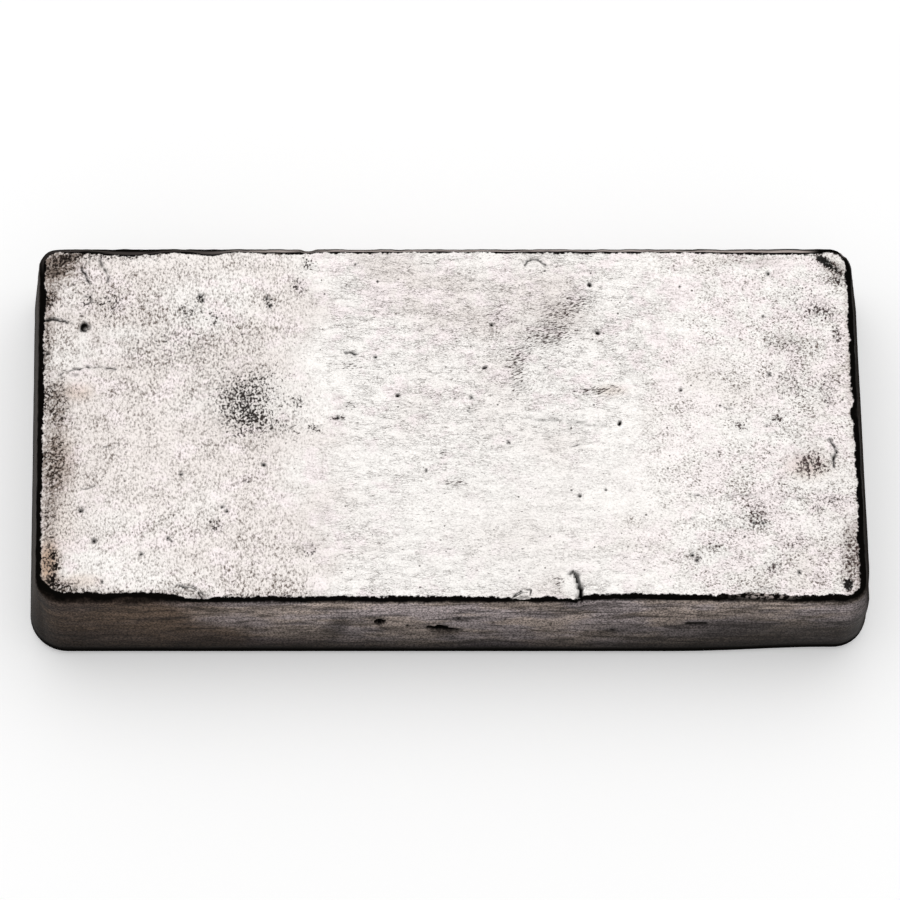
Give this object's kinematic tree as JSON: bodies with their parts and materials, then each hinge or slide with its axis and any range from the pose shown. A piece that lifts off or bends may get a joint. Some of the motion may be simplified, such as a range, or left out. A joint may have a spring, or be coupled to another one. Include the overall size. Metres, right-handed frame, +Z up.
{
  "type": "poured silver bar",
  "caption": "Poured silver bar with drafted sides, rounded corners and a grainy flat upper face, lying on its wide face.",
  "frame": {"origin": "middle of the resting face, the wide face that was open in the mould", "axes": "+X along the bar, +Y across it from the side with the cold shut to the back, +Z up out of the upper face"},
  "size_m": [0.177, 0.0864, 0.0224],
  "materials": {
    "silver": "satin"
  },
  "bodies": {
    "root": {"silver_bar": "silver"}
  },
  "joints": []
}
